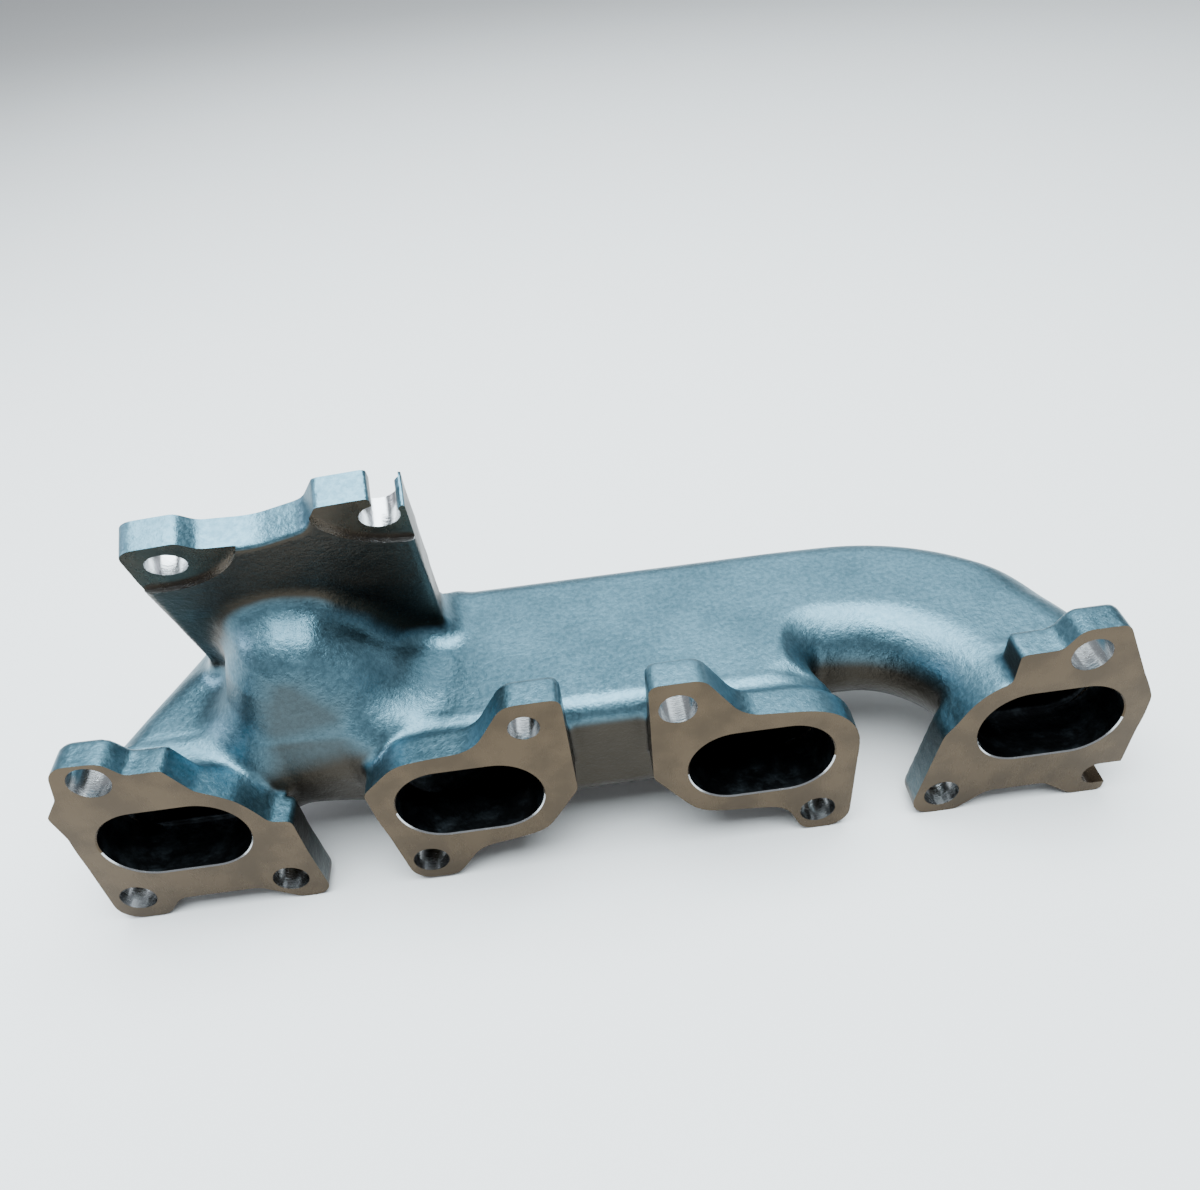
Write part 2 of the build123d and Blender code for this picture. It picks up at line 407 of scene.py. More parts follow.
@dataclass
class TurbineFlange:
    """The leaning plate that the turbine bolts to, behind the collector's dome.

    Its own plane has its origin midway between the two upper holes, on the side that
    faces the head. Depth runs away from the head.
    """

    origin: Point = (-82.67, 24.01, 88.26)
    right: Point = (0.99708, 0.07632, 0.0)
    rise: Point = (0.0319, -0.4173, 0.9081)
    ear_thickness: float = 9.0
    step_depth: float = 1.5
    milling_stock: float = 2.0
    parting_gap: float = 0.25
    corners: Sequence[Corner] = (
        (-38.6, 6.9, 4.5),
        (-23.2, 6.9, 3.0),
        (-18.8, 2.2, 5.0),
        (-5.0, 0.1, 20.0),
        (9.5, 4.0, 6.0),
        (14.2, 12.6, 1.0),
        (28.0, 12.6, 0.8),
        (28.6, -1.6, 1.5),
        (31.5, 1.0, 1.0),
        (36.4, 8.2, 0.5),
        (35.3, -103.0, 10.0),
        (-39.3, -103.0, 10.0),
        (-39.3, -10.0, 6.0),
    )
    hole_radius: float = 5.5
    hole_left: Span = (-29.1, -3.2)
    hole_right: Span = (29.1, 3.2)
    spot_left: Corner = (-32.0, 9.0, 24.0)
    spot_right: Corner = (38.0, 17.5, 28.0)
    outlet: Corner = (-8.0, -63.5, 16.0)
    outlet_size: Span = (38.0, 42.0)
    tapped_radius: float = 4.25
    tapped_drop: float = 92.0
    milled_right: float = 35.6

    def axes(self) -> tuple[np.ndarray, np.ndarray, np.ndarray, np.ndarray]:
        """Origin, right, rise and depth directions of the plate's plane."""
        right, rise = np.array(self.right), np.array(self.rise)
        rise = rise - right * (rise @ right)
        rise = rise / np.linalg.norm(rise)
        return np.array(self.origin), right, rise, np.cross(rise, right)

    def coordinates(self, space: Field) -> tuple[np.ndarray, np.ndarray, np.ndarray]:
        """Every place of the field as across, up and depth in the plate's plane."""
        origin, *directions = self.axes()
        places = [
            (space.x - origin[0]) * way[0] + (space.y - origin[1]) * way[1] + (space.z - origin[2]) * way[2]
            for way in directions
        ]
        return places[0], places[1], places[2]

    def body(self, space: Field) -> np.ndarray:
        """Distance to the plate before milling, with a rounded near edge."""
        across, up, depth = self.coordinates(space)
        distance = np.full(np.broadcast_shapes(across.shape, up.shape, depth.shape), 40.0, np.float32)
        flat = distance.copy()
        near = (np.abs(across) < 60.0) & (np.abs(depth) < 45.0) & (up < 40.0)
        near = np.broadcast_to(near, flat.shape)
        across_all = np.broadcast_to(across, flat.shape)[near]
        up_all = np.broadcast_to(up, flat.shape)[near]
        flat[near] = outline_distance(rounded_outline(self.corners, 6), across_all, up_all)
        front = -(depth + self.step_depth)
        back = depth - self.ear_thickness - self.milling_stock
        return np.maximum(round_meet(flat, front, 1.4), back)

    def _tool(self, name: str, outline: np.ndarray, span: Span) -> bpy.types.Object:
        """A cutter that stands on the plate's plane, span measured in depth."""
        origin, right, rise, _ = self.axes()
        return prism(name, outline, origin, right, rise, (-span[1], -span[0]))

    def drills(self) -> list[bpy.types.Object]:
        """Cutters for the milled faces, holes, tapped holes and the outlet."""
        far = 90.0
        width, height = self.outlet_size
        x, y, radius = self.outlet
        half_w, half_h = width / 2.0, height / 2.0
        signs = ((-1, -1), (1, -1), (1, 1), (-1, 1))
        outlet = rounded_outline([(x + sx * half_w, y + sy * half_h, radius) for sx, sy in signs], 12)
        edge = self.milled_right
        face = np.array([(-60.0, -125.0), (edge, -125.0), (edge, 50.0), (-60.0, 50.0)])
        tools = [self._tool("mating_face", face, (self.ear_thickness, far))]
        for spot in (self.spot_left, self.spot_right):
            tools.append(self._tool("spot_face", circle(spot[:2], spot[2], 96), (-7.0, 0.0)))
        for hole in (self.hole_left, self.hole_right):
            tools.append(self._tool("stud_hole", circle(hole, self.hole_radius), (-6.0, 20.0)))
            low = (hole[0], -self.tapped_drop)
            tools.append(self._tool("tapped_hole", circle(low, self.tapped_radius, 48), (1.0, 20.0)))
        tools.append(self._tool("outlet", outlet, (-9.0, 20.0)))
        return tools

    def parting(self) -> bpy.types.Object:
        """The block that holds the plate and nothing else of the casting."""
        frame = np.array([(-41.5, -104.5), (35.9, -104.5), (35.9, 30.0), (-41.5, 30.0)])
        return self._tool("plate_block", frame, (-self.step_depth - self.parting_gap, 30.0))


@dataclass
class Ducts:
    """Gallery, runners and elbow: one flat-topped duct with cast edge radii."""

    half_height: float = 20.5
    wall: float = 4.5
    half_width: float = 27.15
    front: float = 12.0
    back: float = 81.0
    saddle_front: float = 17.5
    collector_back: float = 72.0
    elbow_centre: Span = (83.15, 2.0)
    elbow_outer: float = 79.0
    inner_centre: Span = (78.0, 2.5)
    inner_radius: float = 28.5
    elbow_rise: float = 4.0

    def plan(self) -> np.ndarray:
        """The duct's outline from above, at its widest."""
        (cx, cy), (ix, iy) = self.elbow_centre, self.inner_centre
        angles = np.radians(np.linspace(0.0, 90.0, 40))
        reach = self.elbow_outer
        outer = [(cx + reach * math.cos(a), cy + reach * math.sin(a), 0.0) for a in angles]
        inner_angles = np.radians(np.linspace(82.0, 0.0, 30))
        reach = self.inner_radius
        inner = [(ix + reach * math.cos(a), iy + reach * math.sin(a), 0.0) for a in inner_angles]
        corners = [
            (162.15, -10.0, 0.0),
            *outer,
            (-46.0, self.back, 16.0),
            (-64.0, self.collector_back, 16.0),
            (-134.5, self.collector_back, 20.0),
            (-162.15, self.front, 3.0),
            (-107.85, self.front, 9.0),
            (-101.0, self.saddle_front, 6.0),
            (-79.0, self.saddle_front, 6.0),
            (-72.15, self.front, 9.0),
            (72.15, self.front, 6.0),
            (65.0, 33.5, 9.0),
            *inner,
            (106.5, -10.0, 0.0),
        ]
        return rounded_outline(corners, 10)

    def edge_radius(self, space: Field) -> np.ndarray:
        """Radius of the duct's long edges, larger at the elbow and at runner 1."""
        elbow = ease(space.x, 46.0, 66.0)
        left = 1.0 - ease(space.x, -100.0, -68.0)
        front = 7.5 + np.maximum(9.5 * elbow, 7.0 * left)
        rear = 10.0 + np.maximum(1.5 * ease(space.x, 60.0, 100.0), 5.0 * left)
        toward_back = ease(space.y, 38.0, 58.0)
        return front * (1.0 - toward_back) + rear * toward_back

    def body(self, space: Field, plan: np.ndarray, inset: float) -> np.ndarray:
        """Distance to the duct, or to the room inside it.

        Args:
            space: The field.
            plan: Distance to the plan outline.
            inset: How far inside the outer skin the surface lies.

        Returns:
            Distance at every place.
        """
        radius = np.maximum(self.edge_radius(space) - inset, 3.0)
        lift = self.elbow_rise / 2.0 * ease(space.x, 56.0, 92.0) * (1.0 - ease(space.y, 30.0, 74.0))
        thick = np.abs(space.z - lift) - self.half_height + lift + inset
        return round_meet(plan + inset, thick, radius)

    def neck(self, space: Field, port_x: float, inset: float, reach: float) -> np.ndarray:
        """Distance to the oval collar between a flange and the duct."""
        radius = self.half_height - 1.5 - inset
        flat = self.half_width - inset - radius
        oval = np.hypot(np.maximum(np.abs(space.x - port_x) - flat, 0.0), space.z) - radius
        return np.maximum(oval, np.maximum(space.y - reach, -3.0 - space.y))


@dataclass
class Dome:
    """The collector's dome, which turns the gas up into the turbine flange."""

    front: float = 14.0
    front_lean: float = 0.16
    foot: float = 21.0
    edge_radius: float = 16.5
    wall: float = 4.5
    profile: Sequence[Corner] = (
        (-124.5, -8.0, 0.0),
        (-118.5, 16.0, 20.0),
        (-112.0, 42.0, 14.0),
        (-105.0, 54.5, 14.0),
        (-92.0, 58.5, 14.0),
        (-81.0, 54.0, 14.0),
        (-70.0, 41.0, 20.0),
        (-58.0, 20.5, 20.0),
        (-44.0, -8.0, 0.0),
    )

    def body(self, space: Field, inset: float) -> np.ndarray:
        """Distance to the dome, or to the room inside it."""
        flat = outline_distance(rounded_outline(self.profile, 10), space.x, space.z) + inset
        front = self.front + self.front_lean * np.maximum(space.z - self.foot, 0.0)
        return round_meet(flat, front + inset - space.y, max(self.edge_radius - inset, 3.0))


HEAD_FLANGES = (
    HeadFlange(
        1,
        PORT_XS[0],
        (
            (-22.6, 38.0, 6.0), (-8.0, 37.6, 6.0), (-3.2, 31.5, 3.0), (7.0, 31.4, 1.5),
            (13.0, 20.8, 5.0), (22.0, 13.6, 8.0), (29.4, 2.8, 5.0), (35.8, 1.8, 2.0),
            (36.6, -13.0, 12.0), (39.0, -36.6, 8.0), (28.4, -36.6, 4.0), (17.0, -29.0, 8.0),
            (-8.5, -28.9, 5.0), (-14.5, -36.4, 5.0), (-29.9, -36.4, 10.0), (-29.3, 7.0, 8.0),
            (-31.0, 17.4, 1.5), (-25.6, 24.8, 4.0),
        ),
        ((-13.6, 30.2, 6.2), (-20.9, -25.8, 5.7), (27.8, -26.4, 5.7)),
    ),
    HeadFlange(
        2,
        PORT_XS[1],
        (
            (32.0, 39.0, 3.0), (33.0, -1.2, 4.0), (21.5, -18.8, 10.0), (-0.5, -23.5, 10.0),
            (-9.4, -35.8, 6.0), (-23.4, -35.8, 7.0), (-30.7, 9.2, 4.0), (-19.2, 20.0, 12.0),
            (4.6, 22.4, 12.0), (15.1, 38.9, 7.0),
        ),
        ((20.4, 29.2, 4.7), (-16.9, -26.4, 5.7)),
    ),
    HeadFlange(
        3,
        PORT_XS[2],
        (
            (-33.2, 39.0, 3.0), (-17.2, 39.1, 6.0), (-5.9, 22.3, 12.0), (30.4, 18.0, 17.0),
            (29.3, -36.8, 9.0), (14.2, -36.6, 5.0), (8.3, -23.4, 9.0), (-19.5, -20.1, 12.0),
            (-33.5, -1.1, 3.0),
        ),
        ((-25.0, 28.6, 5.7), (18.7, -27.2, 5.7)),
    ),
    HeadFlange(
        4,
        PORT_XS[3],
        (
            (-15.0, 31.9, 1.2), (-3.0, 32.1, 4.0), (1.6, 38.8, 5.0), (15.2, 38.8, 4.0),
            (29.8, 6.4, 7.0), (27.8, -23.0, 0.8), (24.4, -32.6, 1.0), (24.2, -36.8, 2.0),
            (13.6, -36.8, 5.0), (3.6, -29.3, 6.0), (-15.4, -29.4, 6.0), (-25.0, -37.0, 5.0),
            (-41.0, -37.0, 11.0), (-33.2, 1.6, 10.0), (-15.7, 20.0, 4.0),
        ),
        ((6.4, 28.4, 6.2), (-30.5, -27.7, 5.7)),
        open_slot=True,
    ),
)

FAR = 300.0
# Where the casting is parted, as the frame's nodes are: low and high corners, with the
# dome parted just above the flat deck so that no cut lies in the deck itself.
DECK = 21.1
REGIONS: dict[str, tuple[Point, Point]] = {
    "runner_1": ((-FAR, 10.5, -FAR), (-111.5, FAR, DECK)),
    "saddle_wall": ((-111.5, 10.5, -FAR), (-72.15, 24.0, DECK)),
    "collector": ((-111.5, 24.0, -FAR), (-50.0, FAR, DECK)),
    "collector_dome": ((-FAR, 10.5, DECK), (-20.0, FAR, FAR)),
    "runner_2": ((-72.15, 10.5, -FAR), (-17.85, 24.0, DECK)),
    "gallery_left": ((-50.0, 24.0, -FAR), (-17.85, FAR, DECK)),
    "gallery_centre": ((-17.85, 10.5, -FAR), (17.85, FAR, DECK)),
    "runner_3": ((17.85, 10.5, -FAR), (78.0, 24.0, DECK)),
    "gallery_right": ((17.85, 24.0, -FAR), (78.0, FAR, DECK)),
    "runner_4": ((78.0, 10.5, -FAR), (FAR, FAR, DECK)),
    "head_flange_1": ((-FAR, -FAR, -FAR), (-90.0, 10.5, FAR)),
    "head_flange_2": ((-90.0, -FAR, -FAR), (0.0, 10.5, FAR)),
    "head_flange_3": ((0.0, -FAR, -FAR), (90.0, 10.5, FAR)),
    "head_flange_4": ((90.0, -FAR, -FAR), (FAR, 10.5, FAR)),
}


@dataclass
class Casting:
    """The whole manifold: its distance field, its skin and its pieces."""

    space: Field = field(default_factory=Field)
    ducts: Ducts = field(default_factory=Ducts)
    dome: Dome = field(default_factory=Dome)
    turbine: TurbineFlange = field(default_factory=TurbineFlange)
    flanges: Sequence[HeadFlange] = HEAD_FLANGES
    flange_cove: float = 3.5
    neck_cove: float = 4.0
    long_neck: float = 20.0
    short_neck: float = 15.5
    inner_neck: float = 17.5
    dome_cove: float = 11.0
    plate_cove: float = 10.0
    port_clearance: float = 0.35
    port_depth: float = 17.5
    values: np.ndarray = field(init=False)
    room: np.ndarray = field(init=False)

    def __post_init__(self) -> None:
        """Work out the distance field: outer skin less the gas room."""
        space, ducts, turbine = self.space, self.ducts, self.turbine
        plan = outline_distance(ducts.plan(), space.x, space.y)
        across, up, depth = turbine.coordinates(space)
        outer = ducts.body(space, plan, 0.0)
        for port_x in PORT_XS:
            reach = self.long_neck if port_x == PORT_XS[0] else self.short_neck
            outer = round_union(outer, ducts.neck(space, port_x, 0.0, reach), self.neck_cove)
        # Nothing of the ducts or the dome stands behind the turbine flange's milled side
        beyond = depth - turbine.ear_thickness - turbine.milling_stock
        footprint = np.maximum(across - turbine.milled_right, -(across + 48.0))
        behind = np.maximum(-beyond, np.maximum(footprint, -104.0 - up))
        above = np.maximum(2.0 - depth, -68.0 - up)
        cleared = np.minimum(behind, above)
        dome = np.maximum(self.dome.body(space, 0.0), -cleared)
        tower = round_union(turbine.body(space), dome, self.plate_cove)
        outer = round_union(np.maximum(outer, -cleared), tower, self.dome_cove)
        inner = ducts.body(space, plan, ducts.wall)
        for port_x in PORT_XS:
            hollow = ducts.neck(space, port_x, ducts.wall + self.port_clearance, self.inner_neck)
            inner = np.minimum(inner, hollow)
        inner = round_union(inner, self.dome.body(space, self.dome.wall), 4.0)
        plate_room = np.maximum(-(depth + turbine.step_depth), np.maximum(across - 39.5, -(across + 43.0)))
        inner = np.maximum(inner, -plate_room)
        inner = np.maximum(inner, 3.0 - space.y)
        for flange in self.flanges:
            outer = round_union(outer, flange.body(space), self.flange_cove)
        self.room = inner.astype(np.float32)
        self.values = np.maximum(outer, -inner).astype(np.float32)

    def whole(self) -> bpy.types.Object:
        """Mesh the skin and cut every milled face, hole and port into it."""
        made = make_object("casting", *self.space.skin(self.values))
        tools = [block("head_face", (-FAR, -50.0, -FAR), (FAR, 0.0, FAR))]
        for flange in self.flanges:
            tools.extend(flange.drills())
            base = np.array([flange.port_x, 0.0, 0.0])
            port = slot_outline(flange.port_width, flange.port_height)
            right, top = np.array([1.0, 0, 0]), np.array([0, 0, 1.0])
            tools.append(prism("port", port, base, right, top, (-self.port_depth, 2.0)))
            grow = 4.0 * flange.chamfer
            wide = slot_outline(flange.port_width + grow, flange.port_height + grow)
            tools.append(prism("lip", port, base, right, top, (-flange.chamfer, flange.chamfer), wide))
        tools.extend(self.turbine.drills())
        for tool in tools:
            carve(made, tool, "DIFFERENCE")
        return made

    def drilled_or_painted_highlight(self, places: np.ndarray, normals: np.ndarray) -> np.ndarray:
        """Which faces take the bright drilled finish: drilled hole walls, and a painted highlight on the
        lower half of each port's broken edge and on the spot-face steps.

        Args:
            places: Middle of each face.
            normals: Direction of each face.

        Returns:
            True for each such face.
        """
        found = np.zeros(len(places), bool)
        wall = (places[:, 1] < 14.6) & (np.abs(normals[:, 1]) < 0.3)
        slanted = (places[:, 1] < 0.6) & (normals[:, 1] < -0.3) & (normals[:, 1] > -0.95)
        for flange in self.flanges:
            for across, up, radius in flange.holes:
                reach = np.hypot(places[:, 0] - flange.port_x - across, places[:, 2] - up)
                found |= wall & (reach < radius + 0.3)
            # Painted highlight: only the lower half of each port's broken edge gets the bright finish
            found |= slanted & (self.port_ring(flange, places) < 2.0) & (places[:, 2] < -2.0)
        origin, right, rise, away = self.turbine.axes()
        offset = places - origin
        across, up = offset @ right, offset @ rise
        wall = np.abs(normals @ away) < 0.3
        for hole in (self.turbine.hole_left, self.turbine.hole_right):
            found |= wall & (np.hypot(across - hole[0], up - hole[1]) < self.turbine.hole_radius + 0.15)
        # Painted highlight: the thin step wall round each spot face gets the bright finish
        near = wall & (np.abs(offset @ away) < self.turbine.step_depth + 0.1)
        for spot in (self.turbine.spot_left, self.turbine.spot_right):
            found |= near & (np.abs(np.hypot(across - spot[0], up - spot[1]) - spot[2]) < 0.2)
        return found

    def port_ring(self, flange: HeadFlange, places: np.ndarray) -> np.ndarray:
        """Distance of each place outward from a port's wall."""
        reach = np.abs(places[:, 0] - flange.port_x) - (flange.port_width - flange.port_height) / 2.0
        return np.hypot(np.maximum(reach, 0.0), places[:, 2]) - flange.port_height / 2.0

    def in_port(self, places: np.ndarray, normals: np.ndarray) -> np.ndarray:
        """Which faces are the cast wall of a port."""
        wall = (places[:, 1] < self.port_depth + 0.1) & (np.abs(normals[:, 1]) < 0.3)
        found = np.zeros(len(places), bool)
        for flange in self.flanges:
            found |= wall & (self.port_ring(flange, places) < 0.1)
        return found

    def pieces(self) -> dict[str, bpy.types.Object]:
        """Part the casting into one closed mesh for each node of the frame."""
        whole = self.whole()
        parts: dict[str, bpy.types.Object] = {}
        plate = make_copy(whole, "turbine_flange")
        carve(plate, self.turbine.parting(), "INTERSECT")
        parts["turbine_flange"] = plate
        carve(whole, self.turbine.parting(), "DIFFERENCE")
        for name, (low, high) in REGIONS.items():
            piece = make_copy(whole, name)
            carve(piece, block("cutter", low, high), "INTERSECT")
            parts[name] = piece
        bpy.data.objects.remove(whole)
        return parts


def make_copy(source: bpy.types.Object, name: str) -> bpy.types.Object:
    """A copy of a mesh object, with its own mesh and a new name."""
    made = bpy.data.objects.new(name, source.data.copy())
    made.data.name = name
    bpy.context.scene.collection.objects.link(made)
    return made


def finish_surface(piece: bpy.types.Object, casting: Casting) -> None:
    """Mark milled faces and give every corner the direction of its true surface.

    Args:
        piece: One parted piece, whose second material is the milled one.
        casting: The casting whose field gives the cast skin's directions.
    """
    mesh = piece.data
    points = np.empty(len(mesh.vertices) * 3)
    mesh.vertices.foreach_get("co", points)
    points = points.reshape(-1, 3) / MM - LOCATING_HOLE_SHIFT
    normals = np.empty(len(mesh.polygons) * 3)
    mesh.polygons.foreach_get("normal", normals)
    normals = normals.reshape(-1, 3)
    corner_point = np.empty(len(mesh.loops), np.int32)
    mesh.loops.foreach_get("vertex_index", corner_point)
    starts = np.empty(len(mesh.polygons), np.int32)
    mesh.polygons.foreach_get("loop_start", starts)
    sizes = np.empty(len(mesh.polygons), np.int32)
    mesh.polygons.foreach_get("loop_total", sizes)
    owner = np.repeat(np.arange(len(sizes)), sizes)
    slopes = casting.space.slope(casting.values, points)
    off = np.abs(casting.space.sample(casting.values, points))[corner_point]
    lean = np.sum(slopes[corner_point] * normals[owner], axis=1)
    centres = np.add.reduceat(points[corner_point], starts) / sizes[:, None]
    cast = (np.maximum.reduceat(off, starts) < 0.6 * casting.space.pitch) & (
        np.add.reduceat(lean, starts) / sizes > 0.6
    )
    cast &= ~((centres[:, 1] < 0.02) & (normals[:, 1] < -0.99))
    # Drilled walls and painted highlights take the bright finish (2); other milled faces take 1
    surface = np.where(cast, 0, np.where(casting.drilled_or_painted_highlight(centres, normals), 2, 1))
    # Painted shade: faces inside the ports and the gas room take the near-black finish (3)
    inside = casting.in_port(centres, normals)
    inside |= cast & (casting.space.sample(casting.room, centres) < casting.space.pitch)
    surface = np.where(inside, 3, surface)
    mesh.polygons.foreach_set("material_index", surface.astype(np.int32))
    mesh.polygons.foreach_set("use_smooth", np.ones(len(mesh.polygons), bool))
    rows = np.where(cast[owner][:, None], slopes[corner_point], normals[owner])
    # Round walls of milled holes share the direction of neighbouring milled faces
    milled = ~cast[owner]
    areas = np.empty(len(mesh.polygons))
    mesh.polygons.foreach_get("area", areas)
    order = corner_point[milled]
    faces = owner[milled]
    rows[milled] = gather_smooth(order, faces, normals, areas)
    mesh.normals_split_custom_set(rows.tolist())
    mesh.update()


def gather_smooth(order: np.ndarray, faces: np.ndarray, normals: np.ndarray, areas: np.ndarray) -> np.ndarray:
    """Average the directions of milled faces that meet at a point and nearly agree.

    Args:
        order: Point number of each milled corner.
        faces: Face number of each milled corner.
        normals: Direction of every face.
        areas: Area of every face.

    Returns:
        One direction for each milled corner.
    """
    rows = normals[faces].copy()
    by_point: dict[int, list[int]] = {}
    for index, point in enumerate(order.tolist()):
        by_point.setdefault(point, []).append(index)
    for group in by_point.values():
        if len(group) < 2:
            continue
        directions = normals[faces[group]]
        weights = areas[faces[group]]
        alike = (directions @ directions.T > 0.93) * weights[None, :]
        rows[group] = alike @ directions
    return rows / np.maximum(np.linalg.norm(rows, axis=1, keepdims=True), 1e-9)


# -------------------------------------------------------------------------- finishes


class Sock:
    """A shader socket that can be used in sums.

    Args:
        tree: Node tree that the socket is in.
        link: The socket itself.
    """

    def __init__(self, tree: bpy.types.NodeTree, link: bpy.types.NodeSocket) -> None:
        """Keep the socket and its tree."""
        self.tree = tree
        self.link = link

    def node(self, kind: str, output: Union[int, str] = 0, settings: Optional[dict[str, Any]] = None,
             **inputs: Any) -> "Sock":
        """Add a node to the same tree and return one of its outputs."""
        return add_node(self.tree, kind, output, settings, **inputs)

    def _math(self, operation: str, first: Any, second: Any = 0.0) -> "Sock":
        """Add a Math node."""
        return self.node("ShaderNodeMath", 0, {"operation": operation}, i0=first, i1=second)

    def __add__(self, other: Any) -> "Sock":
        """Sum."""
        return self._math("ADD", self, other)

    __radd__ = __add__

    def __sub__(self, other: Any) -> "Sock":
        """Difference."""
        return self._math("SUBTRACT", self, other)

    def __rsub__(self, other: Any) -> "Sock":
        """Difference from a number."""
        return self._math("SUBTRACT", other, self)

    def __mul__(self, other: Any) -> "Sock":
        """Product."""
        return self._math("MULTIPLY", self, other)

    __rmul__ = __mul__

    def __truediv__(self, other: Any) -> "Sock":
        """Quotient."""
        return self._math("DIVIDE", self, other)

    def __rtruediv__(self, other: Any) -> "Sock":
        """Quotient of a number."""
        return self._math("DIVIDE", other, self)

    def ramp(self, start: float, stop: float, low: float = 0.0, high: float = 1.0) -> "Sock":
        """Map a span of values onto another, smoothly and clamped."""
        settings = {"interpolation_type": "SMOOTHSTEP"}
        return self.node("ShaderNodeMapRange", 0, settings, i0=self, i1=start, i2=stop, i3=low, i4=high)


def add_node(tree: bpy.types.NodeTree, kind: str, output: Union[int, str] = 0,
             settings: Optional[dict[str, Any]] = None, **inputs: Any) -> Sock:
    """Add any node, set it up and feed it.

    Args:
        tree: Node tree to add to.
        kind: The node's type.
        output: Name or number of the output wanted.
        settings: Properties set before the inputs.
        inputs: Values or sockets. iN is input number N, and other names are the
            input's own with underscores for spaces.

    Returns:
        The wanted output.
    """
    made = tree.nodes.new(kind)
    for name, value in (settings or {}).items():
        setattr(made, name, value)
    for name, value in inputs.items():
        is_number = name[0] == "i" and name[1:].isdigit()
        port = made.inputs[int(name[1:]) if is_number else name.replace("_", " ")]
        if isinstance(value, Sock):
            tree.links.new(value.link, port)
        else:
            port.default_value = value
    return Sock(tree, made.outputs[output])


def mix_colour(mask: Sock, first: Any, second: Any) -> Sock:
    """Blend two colours by a mask."""
    return mask.node("ShaderNodeMix", 2, {"data_type": "RGBA"}, i0=mask, i6=first, i7=second)


def place(tree: bpy.types.NodeTree) -> Sock:
    """The place of each point on the object, in metres."""
    return add_node(tree, "ShaderNodeTexCoord", "Object")


def noise(spot: Sock, size: float, detail: float = 3.0, roughness: float = 0.5) -> Sock:
    """Noise whose grains are about a given size, in millimetres."""
    return spot.node("ShaderNodeTexNoise", 0, None, Vector=spot, Scale=1.0 / (size * MM),
                     Detail=detail, Roughness=roughness)


def new_material(name: str) -> tuple[bpy.types.Material, bpy.types.NodeTree, bpy.types.Node]:
    """Make an empty metal material and return it, its tree and its shader."""
    made = bpy.data.materials.new(name)
    made.use_nodes = True
    tree = made.node_tree
    return made, tree, tree.nodes["Principled BSDF"]


@dataclass(frozen=True)
class CastFinish:
    """Blasted investment-cast stainless steel: satin, with a fine orange-peel skin. Faces turned up are
    painted the blue of sky light, faces turned sideways or down a painted dark brown shade.
    """

    name: str = "cast_stainless"
    # Blue tones mottled at random; the blue stands in for sky light and shows only on faces turned up
    light: Point = (0.120, 0.228, 0.285)
    dark: Point = (0.066, 0.140, 0.180)
    # Dark brown painted shade for faces turned sideways or down
    painted_shade: Point = (0.036, 0.030, 0.023)
    roughness_low: float = 0.34
    roughness_high: float = 0.46
    peel: float = 0.45

    def build(self) -> bpy.types.Material:
        """Build the material."""
        made, tree, shader = new_material(self.name)
        spot = place(tree)
        clouds = noise(spot, 26.0, 4.0)
        grain = noise(spot, 1.5, 3.0, 0.6)
        fine = noise(spot, 0.55, 2.0)
        mask = clouds.ramp(0.30, 0.70) * 0.30 + grain.ramp(0.30, 0.70) * 0.70
        upper = mix_colour(mask, (*self.dark, 1.0), (*self.light, 1.0))
        # Painted shade: the object's own normal gives faces turned up the painted sky-lit blue and faces
        # turned sideways or down the dark brown painted shade
        facing = add_node(tree, "ShaderNodeTexCoord", "Normal")
        rise = facing.node("ShaderNodeSeparateXYZ", 2, None, Vector=facing)
        colour = mix_colour(rise.ramp(-0.02, 0.52), (*self.painted_shade, 1.0), upper)
        rough = clouds.ramp(0.35, 0.65, self.roughness_low, self.roughness_high) + (grain - 0.5) * 0.10
        height = grain * 0.6 + fine * 0.25 + noise(spot, 5.0, 2.0) * 0.8
        bump = add_node(tree, "ShaderNodeBump", 0, None, Strength=self.peel, Distance=0.0006, Height=height)
        shader.inputs["Metallic"].default_value = 1.0
        tree.links.new(colour.link, shader.inputs["Base Color"])
        tree.links.new(rough.link, shader.inputs["Roughness"])
        tree.links.new(bump.link, shader.inputs["Normal"])
        return made


@dataclass(frozen=True)
class MilledFinish:
    """Milled and drilled stainless steel, darker and smoother than the cast skin; its dark brown is a painted
    reflection of a warm floor.
    """

    name: str = "milled_stainless"
    # Dark brown tones, a painted reflection of a warm floor, mottled at random
    light: Point = (0.076, 0.055, 0.035)
    dark: Point = (0.056, 0.041, 0.027)
    roughness: float = 0.27

    def build(self) -> bpy.types.Material:
        """Build the material."""
        made, tree, shader = new_material(self.name)
        spot = place(tree)
        stretch = add_node(tree, "ShaderNodeMapping", 0, None, Vector=spot, Scale=(1.0, 1.0, 0.15))
        streak = stretch.node("ShaderNodeTexNoise", 0, None, Vector=stretch, Scale=900.0, Detail=2.0)
        clouds = noise(spot, 14.0, 3.0)
        colour = mix_colour(clouds.ramp(0.35, 0.65), (*self.dark, 1.0), (*self.light, 1.0))
        rough = clouds * 0.12 + streak * 0.08 + (self.roughness - 0.1)
        bump = add_node(tree, "ShaderNodeBump", 0, None, Strength=0.08, Distance=0.0002, Height=streak)
        shader.inputs["Metallic"].default_value = 1.0
        tree.links.new(colour.link, shader.inputs["Base Color"])
        tree.links.new(rough.link, shader.inputs["Roughness"])
        tree.links.new(bump.link, shader.inputs["Normal"])
        return made


